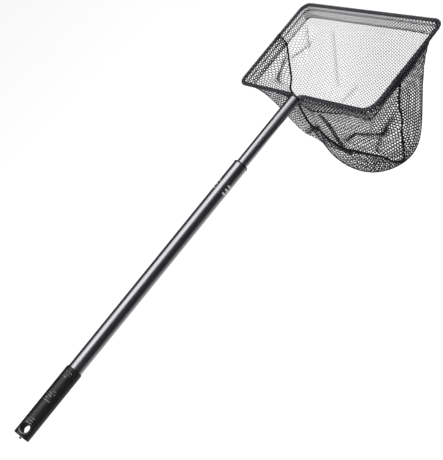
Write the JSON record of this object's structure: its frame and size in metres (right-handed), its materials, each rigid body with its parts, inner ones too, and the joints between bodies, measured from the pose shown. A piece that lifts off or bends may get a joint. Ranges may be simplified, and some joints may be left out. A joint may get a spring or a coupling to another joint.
{
  "type": "leaf skimmer net",
  "caption": "Telescopic hand skimmer: black mesh bag sewn to a rectangular wire hoop on a twist-lock aluminium pole with a moulded grip and hanging hole.",
  "frame": {"origin": "centre of the hanging hole through the grip, on the pole's axis", "axes": "+Y along the pole from the grip to the net, +Z square to the hoop on its open side, +X to the right; the bag hangs towards -Z and swings a little towards the pole"},
  "size_m": [0.3342, 0.7986, 0.134],
  "materials": {
    "grip_plastic": "satin moulded",
    "pole_aluminium": "drawn, clear anodised",
    "bush_plastic": "moulded",
    "lock_plastic": "moulded nylon",
    "zinc_steel": "zinc plated",
    "rivet_aluminium": "plain",
    "hoop_coating": "black plastic coated",
    "net_mesh": "knitted polyester mesh",
    "seam_thread": "sewn thread"
  },
  "bodies": {
    "lower_section": {"grip": "grip_plastic", "lower_tube": "pole_aluminium", "end_bush": "bush_plastic"},
    "lock": {"lock_ring": "lock_plastic"},
    "net_section": {"upper_tube": "pole_aluminium", "lock_core": "lock_plastic", "retaining_washer": "zinc_steel", "retaining_screw": "zinc_steel", "hoop_plug": "bush_plastic", "plug_rivet": "rivet_aluminium", "hoop_rod": "hoop_coating", "near_hem": "net_mesh", "far_hem": "net_mesh", "near_panel": "net_mesh", "far_panel": "net_mesh", "left_side_seam": "seam_thread", "right_side_seam": "seam_thread", "bottom_seam": "seam_thread", "centre_seam_tape": "net_mesh", "near_hem_stitching": "seam_thread", "far_hem_stitching": "seam_thread", "left_hem_join": "net_mesh", "right_hem_join": "net_mesh"}
  },
  "joints": [
    {"name": "pole_slide", "type": "slide", "parent": "lower_section", "child": "lock", "axis": [0, 1, 0], "range_m": [-0.113, 0.242]},
    {"name": "twist_lock", "type": "hinge", "parent": "lock", "child": "net_section", "pos_m": [0, 0.1665, 0], "axis": [0, 1, 0], "range_deg": [0, 60]}
  ]
}
